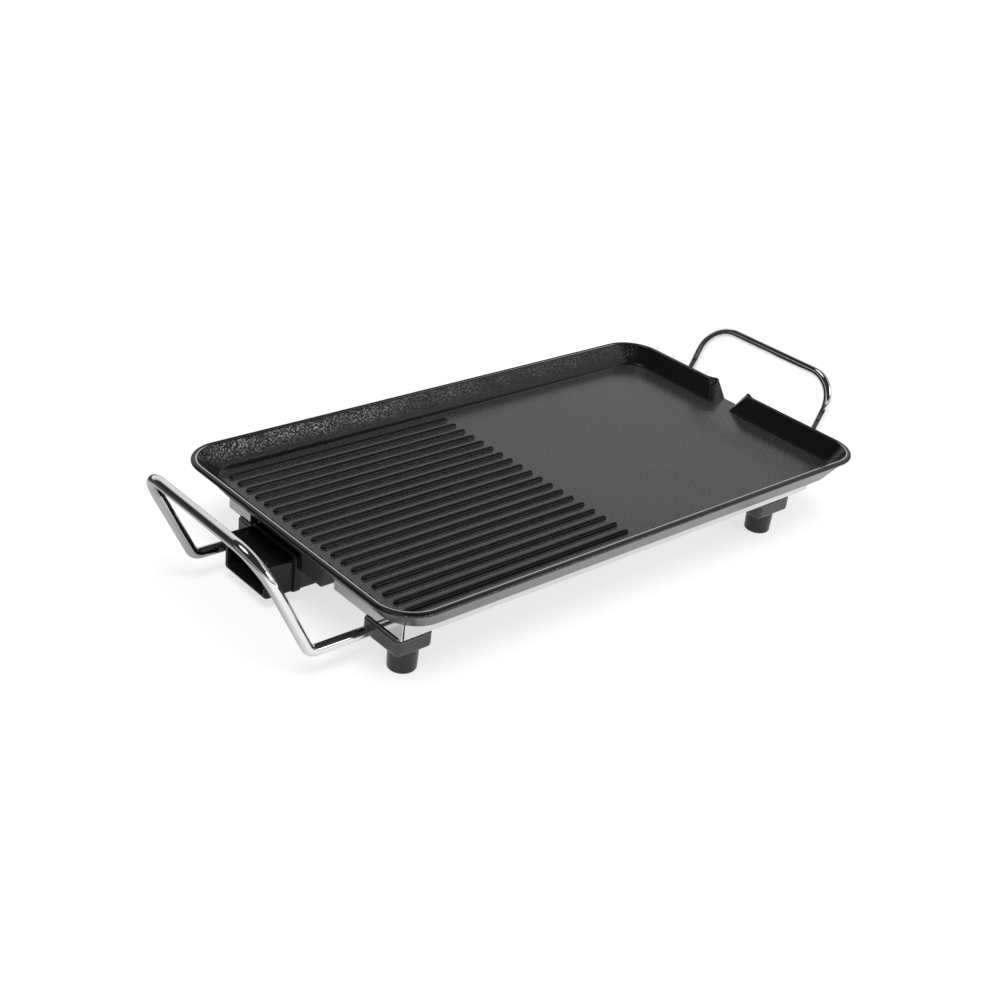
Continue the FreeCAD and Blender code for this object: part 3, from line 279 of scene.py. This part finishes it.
def plate_zones(shader):
    """Masks for the parts of the plate, from the place on it and the way its surface looks."""
    place = shader.parts(shader.position())
    facing = shader.parts(shader.facing())
    inward, outward = rim_distance(shader)
    rim_foot = RIM_TOP - RIM_DEPTH

    below_rim = shader.mask(place["Z"], RIM_TOP - 0.0005, RIM_TOP - 0.0010)
    inside = shader.times(shader.mask(facing["Z"], 0.05, 0.25), below_rim)
    level = shader.times(inside, shader.mask(facing["Z"], 0.95, 0.99))
    floor = shader.times(level, shader.mask(place["Z"], FLOOR_TOP + 0.0008, FLOOR_TOP + 0.0004))
    walls = shader.times(inside, shader.mask(facing["Z"], 0.95, 0.85))
    far_wall = shader.times(walls, shader.mask(facing["Y"], -0.45, -0.65))
    on_rib = shader.band(place["Z"], RIB_TOP - 0.0010, RIB_TOP - 0.0004, RIB_TOP + 0.0005, RIB_TOP + 0.0010)
    rib_top = shader.times(on_rib, shader.mask(facing["Z"], 0.85, 0.95))

    rim_side = shader.band(place["Z"], rim_foot - 0.0010, rim_foot - 0.0005,
                           RIM_TOP - 0.0018, RIM_TOP - 0.0014)
    under_edge = shader.times(rim_side, shader.band(facing["Z"], -0.15, -0.10, 0.10, 0.15))
    outside = shader.maths("MAXIMUM", shader.mask(facing["Z"], -0.10, -0.25), under_edge)
    rim_top = shader.times(shader.mask(place["Z"], RIM_TOP - 0.0008, RIM_TOP - 0.0004),
                           shader.mask(facing["Z"], 0.80, 0.95))
    lip = shader.times(shader.mask(inward, LIP_START - 0.0001, LIP_START + 0.0001), rim_top)
    return SimpleNamespace(place=place, outward=outward, inside=inside, floor=floor, far_wall=far_wall,
                           rib_top=rib_top, under_edge=under_edge, outside=outside, rim_top=rim_top, lip=lip)


def coating_colour(shader, zones, pits, patches):
    """Black, with a speckled floor, light painted glints high on the far wall, an outside greyed as painted
    reflection and darker at its left end as painted shade, and painted highlights along edges.
    """
    coat = shader.mix(patches, BLACK, BLACK_PATCHES)
    coat = shader.mix(shader.times(shader.spread(pits, 0.40, 0.65, 0.2, 1), zones.floor), coat, FLOOR_SPECKS)

    # Painted highlight: glints of the pits, only high on the far wall and weaker towards the right, where
    # they catch the light
    high = shader.mask(zones.place["Z"], FLOOR_TOP + 0.004, FLOOR_TOP + 0.010)
    leftward = shader.spread(zones.place["X"], 0.06, -0.08, 0.25, 1)
    fine = shader.mask(shader.noise(700, detail=1), 0.52, 0.60)
    clouds = shader.spread(shader.noise(60), 0.35, 0.60, 0.3, 1)
    painted_wall_glints = shader.times(zones.far_wall, high, leftward, shader.times(fine, clouds))
    coat = shader.mix(painted_wall_glints, coat, WALL_GLINTS_PAINTED)

    # Painted reflection greys the outside, and painted shade darkens its left end
    outside_painted_light = shader.mix(shader.mask(zones.place["X"], -0.20, -0.12), OUTSIDE_PAINTED_SHADE_AT_LEFT, OUTSIDE_PAINTED_REFLECTION)
    coat = shader.mix(zones.outside, coat, outside_painted_light)
    # Painted highlight along edges
    return shader.mix(shader.times(shader.painted_highlight_edges(), 0.10), coat, PAINTED_EDGE_HIGHLIGHT)


def rim_lean(shader, zones):
    """Outward lean of the shading on top of the rim, inward on its far side and along its lip."""
    side = shader.parts(zones.outward)
    far_side = shader.mask(shader.maths("ADD", side["X"], side["Y"]), -0.2, 0.2)
    rim = shader.mix_value(far_side, NEAR_RIM_LEAN, FAR_RIM_LEAN)
    tilt = shader.mix_value(zones.lip, rim, LIP_LEAN)
    lean = shader.add("ShaderNodeVectorMath", operation="SCALE")
    shader.link(zones.outward, lean.inputs[0])
    shader.link(shader.times(tilt, zones.rim_top), lean.inputs["Scale"])
    return lean.outputs["Vector"]


def rib_lean(shader, zones):
    """Level lean of the shading on top of the ribs: dark, with one thin light line along each."""
    shifted = shader.maths("ADD", zones.place["Y"], RIB_FIRST + RIB_PITCH / 2)
    inside_pitch = shader.maths("FLOORED_MODULO", shifted, RIB_PITCH)
    across = shader.maths("SUBTRACT", inside_pitch, RIB_PITCH / 2)
    line = shader.band(across, 0.0006, 0.0008, 0.0012, 0.0014)
    lean = shader.times(shader.mix_value(line, RIB_LEAN, RIB_LINE_LEAN), zones.rib_top)
    return shader.combine(X=lean, Y=lean)


def coating_normal(shader, zones):
    """Shading normal of the plate: soft round edges, and leans on the rim, below it and on the ribs."""
    under_edge_lean = shader.combine(Z=shader.times(zones.under_edge, UNDER_EDGE_LEAN))
    normal = shader.round_edges(samples=6)
    for lean in (rim_lean(shader, zones), rib_lean(shader, zones), under_edge_lean):
        normal = shader.vector("ADD", normal, lean)
    return shader.vector("NORMALIZE", normal)


def plate_coating():
    """Black non-stick coating: pitted in the well, smooth outside, ground bright along the lip."""
    shader = Shader("plate_coating")
    zones = plate_zones(shader)
    pits = shader.noise(750, detail=2, roughness=0.6)
    patches = shader.noise(9, detail=4)
    coat = coating_colour(shader, zones, pits, patches)
    shader.colour(shader.mix(zones.lip, coat, BARE_LIP))
    shader.link(zones.lip, shader.surface.inputs["Metallic"])
    shader.surface.inputs["Specular IOR Level"].default_value = 0.38
    satin = shader.spread(patches, 0.3, 0.7, 0.13, 0.20)
    smooth = shader.mix_value(zones.outside, 0.13, 0.24)
    shader.roughness(shader.mix_value(zones.inside, smooth, satin))
    relief = shader.maths("ADD", shader.times(zones.inside, 0.15), shader.times(zones.far_wall, 0.35))
    shader.bump(pits, relief, 0.0005, normal=coating_normal(shader, zones))
    return shader.material


# Other materials

def chrome(name, colour, rough, grain_scale=140, lean=0.0):
    """Bright plating with slight smears in its gloss; lean turns its mirrored view towards the floor."""
    shader = Shader(name)
    smear = shader.noise(grain_scale, detail=3, stretch=(0.3, 1, 1))
    shader.colour(shader.mix(smear, colour, toned(colour, 0.94)))
    shader.roughness(shader.spread(smear, 0.3, 0.7, rough, rough + 0.06))
    leaning = None
    if lean:
        leaning = shader.vector("NORMALIZE", shader.vector("ADD", shader.facing(), (0, 0, -lean)))
    shader.bump(shader.noise(35), 0.03, 0.0004, normal=leaning)
    shader.surface.inputs["Metallic"].default_value = 1.0
    return shader.material


def plastic(name, colour, edge_highlight, rough, grain, leg_painted_shade=None):
    """Moulded black plastic, with a painted highlight along its edges, and, where a second colour is given,
    the part below a foot's block darker as painted shade.
    """
    shader = Shader(name)
    patches = shader.noise(25)
    tone = shader.mix(patches, colour, toned(colour, 1.25))
    # Painted shade: a foot's leg darker than its block
    if leg_painted_shade:
        height = shader.parts(shader.position())["Z"]
        tone = shader.mix(shader.mask(height, LEG_SHADE, LEG_SHADE - 0.0005), tone, leg_painted_shade)
    # Painted highlight along edges
    shader.colour(shader.mix(shader.painted_highlight_edges(), tone, edge_highlight))
    shader.roughness(shader.spread(patches, 0.3, 0.7, rough, rough + 0.08))
    shader.bump(shader.noise(1500, detail=2), grain, 0.0001)
    return shader.material


def steel(name, colour, rough):
    """Plain or plated steel with drawn marks."""
    shader = Shader(name)
    drawn = shader.noise(260, detail=4, stretch=(0.08, 1, 1))
    patches = shader.noise(18)
    shader.colour(shader.mix(patches, colour, toned(colour, 0.75)))
    shader.roughness(shader.spread(drawn, 0.3, 0.7, rough, rough + 0.12))
    shader.bump(drawn, 0.08, 0.0001)
    shader.surface.inputs["Metallic"].default_value = 1.0
    return shader.material


def ceramic():
    """White unglazed ceramic with fine pores."""
    shader = Shader("ceramic_white")
    pores = shader.noise(1200)
    shader.colour(shader.mix(pores, (0.80, 0.78, 0.72), (0.70, 0.68, 0.62)))
    shader.roughness(shader.spread(pores, 0.3, 0.7, 0.55, 0.75))
    shader.bump(pores, 0.2, 0.0001)
    return shader.material


def dress_all():
    """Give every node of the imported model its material."""
    dress(["grill_plate"], plate_coating())

    wire = (0.88, 0.89, 0.90)
    dress(["side_band", "end_panel_near", "end_panel_far"], chrome("frame_chrome", (0.72, 0.72, 0.73), 0.07))
    dress(["handle_left"], chrome("wire_chrome", wire, 0.04, 300))
    dress(["handle_right"], chrome("wire_chrome_right", wire, 0.04, 300, lean=RIGHT_HANDLE_LEAN))

    foot_nodes = [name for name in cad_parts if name.startswith(("foot_left", "foot_right", "foot_cap"))]
    # The lighter edge colours given to the plastics are painted highlights
    dress(foot_nodes, plastic("foot_plastic", (0.042, 0.042, 0.044), (0.34, 0.34, 0.34), 0.20, 0.05,
                              leg_painted_shade=(0.012, 0.012, 0.013)))
    dress(["socket_hood"], plastic("housing_plastic", (0.006, 0.006, 0.0065), (0.05, 0.05, 0.05), 0.12, 0.02))
    # Lighter copy of the housing plastic for the socket's rear body; the lighter tone is painted light
    dress(["socket_back"], plastic("socket_plastic_painted_light", (0.048, 0.048, 0.050), (0.10, 0.10, 0.10), 0.22, 0.04))

    dress(["base_pan"], steel("pan_steel", (0.66, 0.66, 0.65), 0.25))
    dress(["element_clips", "clip_screws", "terminal_bracket", "bracket_screws", "housing_screws",
           "foot_screws", "foot_nuts"], steel("zinc_steel", (0.62, 0.62, 0.60), 0.28))
    dress(["heating_element", "probe_tube"], steel("heater_sheath", (0.20, 0.185, 0.17), 0.45))
    dress(["terminal_pin_near", "terminal_pin_far", "earth_tab"],
          steel("pin_metal", (0.72, 0.71, 0.68), 0.22))
    dress(["pin_insulators"], ceramic())


# Floor and surroundings

def floor_paper():
    """White paper, lifted to white for the camera; gloss sees it dimmer towards the left."""
    shader = Shader("floor_paper")
    shader.colour(shader.mix(shader.noise(3), (0.80, 0.80, 0.80), (0.82, 0.82, 0.82)))
    shader.surface.inputs["Roughness"].default_value = 0.9
    rays = shader.add("ShaderNodeLightPath").outputs
    place = shader.parts(shader.position())
    leftward = shader.maths("SUBTRACT", place["Y"], place["X"])
    mirrored_level = shader.spread(leftward, 0.12, 0.24, FLOOR_LEVEL, 0.0)
    mirrored_share = shader.times(rays["Is Glossy Ray"], shader.spread(leftward, 0.50, 0.60, 0.40, 0.92))
    seen = shader.maths("MAXIMUM", rays["Is Camera Ray"], rays["Is Transmission Ray"])
    lift = shader.add("ShaderNodeEmission")
    shader.link(shader.mix_value(rays["Is Glossy Ray"], FLOOR_LEVEL, mirrored_level), lift.inputs["Strength"])
    share = shader.maths("MAXIMUM", shader.times(seen, 0.55), mirrored_share)
    paper = shader.blend(share, shader.surface.outputs[0], lift.outputs[0])
    shader.link(paper, shader.output.inputs["Surface"])
    return shader.material


def add_floor():
    """One large level sheet under the feet."""
    mesh = bpy.data.meshes.new("floor")
    corners = [(-FLOOR_REACH, -FLOOR_REACH, 0), (FLOOR_REACH, -FLOOR_REACH, 0),
               (FLOOR_REACH, FLOOR_REACH, 0), (-FLOOR_REACH, FLOOR_REACH, 0)]
    mesh.from_pydata(corners, [], [(0, 1, 2, 3)])
    mesh.materials.append(floor_paper())
    item = bpy.data.objects.new("floor", mesh)
    scene.collection.objects.link(item)


class World(Nodes):
    """Light of the surroundings, built from directions."""

    def __init__(self, name):
        scene.world = bpy.data.worlds.new(name)
        scene.world.use_nodes = True
        super().__init__(scene.world.node_tree)
        self.nodes.clear()
        self.direction = self.add("ShaderNodeTexCoord").outputs["Generated"]
        self.height = self.parts(self.direction)["Z"]

    def fade(self, value, off, on):
        """Soft step from 0 to 1."""
        node = self.add("ShaderNodeMapRange", interpolation_type="SMOOTHSTEP")
        node.inputs["From Min"].default_value = off
        node.inputs["From Max"].default_value = on
        self.link(value, node.inputs["Value"])
        return node.outputs["Result"]

    def towards(self, aim, off, on):
        """1 near one direction and 0 away from it."""
        node = self.add("ShaderNodeVectorMath", operation="DOT_PRODUCT")
        node.inputs[1].default_value = Vector(aim).normalized()
        self.link(self.direction, node.inputs[0])
        return self.fade(node.outputs["Value"], off, on)

    def background(self, level):
        """White light of one level."""
        node = self.add("ShaderNodeBackground")
        node.inputs["Color"].default_value = (1, 1, 1, 1)
        self.fill(node.inputs["Strength"], level)
        return node.outputs[0]


def mirrored_room(world):
    """Level that gloss sees in each direction: bright at the far right, dark above and at the left."""
    height = world.height
    backdrop = world.times(world.towards(FAR_RIGHT, 0.05, 0.35), world.fade(height, 0.78, 0.64))
    softbox = world.towards(ABOVE, 0.955, 0.975)
    open_side = world.maths("SUBTRACT", 1.0, world.towards(FAR_LEFT, 0.93, 0.97))
    strip = world.times(world.fade(height, 0.06, 0.09), world.fade(height, 0.22, 0.16), open_side)
    low_band = world.times(world.fade(height, 0.02, -0.05), open_side)
    level = world.maths("ADD", world.times(backdrop, BACKDROP_LEVEL), DARK_LEVEL)
    for light, strength in ((softbox, SOFTBOX_LEVEL), (strip, STRIP_LEVEL), (low_band, LOW_BAND_LEVEL)):
        level = world.maths("MAXIMUM", level, world.times(light, strength))
    dark_patch = world.times(world.towards(LOW_RIGHT, 0.90, 0.975), 0.85)
    return world.times(level, world.maths("SUBTRACT", 1.0, dark_patch))


def make_world():
    """White for the camera, even light for matt surfaces, and a room of its own for gloss."""
    world = World("studio")
    rays = world.add("ShaderNodeLightPath").outputs
    room = world.background(mirrored_room(world))
    lit = world.blend(rays["Is Glossy Ray"], world.background(EVEN_LEVEL), room)
    seen = world.blend(rays["Is Camera Ray"], lit, world.background(SEEN_LEVEL))
    output = world.add("ShaderNodeOutputWorld")
    world.link(seen, output.inputs["Surface"])


# Lamps and camera

def put_lamp(name, data, place, aim):
    """Put a lamp at a place and turn it along a direction."""
    lamp = bpy.data.objects.new(name, data)
    lamp.location = place
    lamp.rotation_mode = "QUATERNION"
    lamp.rotation_quaternion = Vector(aim).to_track_quat("-Z", "Y")
    scene.collection.objects.link(lamp)
    return lamp


def add_key_light():
    """Soft sun from above the near left corner, which makes the shadow; gloss doesn't see it."""
    data = bpy.data.lights.new("key", "SUN")
    data.energy = 1.9
    data.angle = math.radians(25)
    lamp = put_lamp("key", data, (0, 0, 0), (0.35, 0.45, -1.0))
    lamp.visible_glossy = False


def add_fill_light():
    """Weak panel off the near side, turned to the object's middle."""
    place = Vector((0.9, -1.7, 0.9))
    middle = Vector((0, 0, 0.05))
    data = bpy.data.lights.new("fill", "AREA")
    data.shape = "RECTANGLE"
    data.size = 1.2
    data.size_y = 0.7
    data.energy = 6
    put_lamp("fill", data, place, middle - place)


def add_camera():
    """Camera at the photograph's place, found from the rim, the feet and the handles."""
    right = Vector((0.74301, -0.65983, 0.11207))
    down = Vector((-0.24132, -0.42031, -0.8747))
    forward = Vector((0.62426, 0.62286, -0.47153))
    turn = Matrix((right, -down, -forward)).transposed().to_4x4()
    data = bpy.data.cameras.new("camera")
    data.sensor_width = 36
    data.lens = 54.17
    data.shift_x = -0.0245
    data.shift_y = 0.0021
    data.clip_start = 0.05
    camera = bpy.data.objects.new("camera", data)
    camera.matrix_world = Matrix.Translation((-0.7171, -0.7193, 0.5762)) @ turn
    scene.collection.objects.link(camera)
    scene.camera = camera


dress_all()
add_floor()
make_world()
add_key_light()
add_fill_light()
add_camera()
scene.view_settings.view_transform = "Standard"
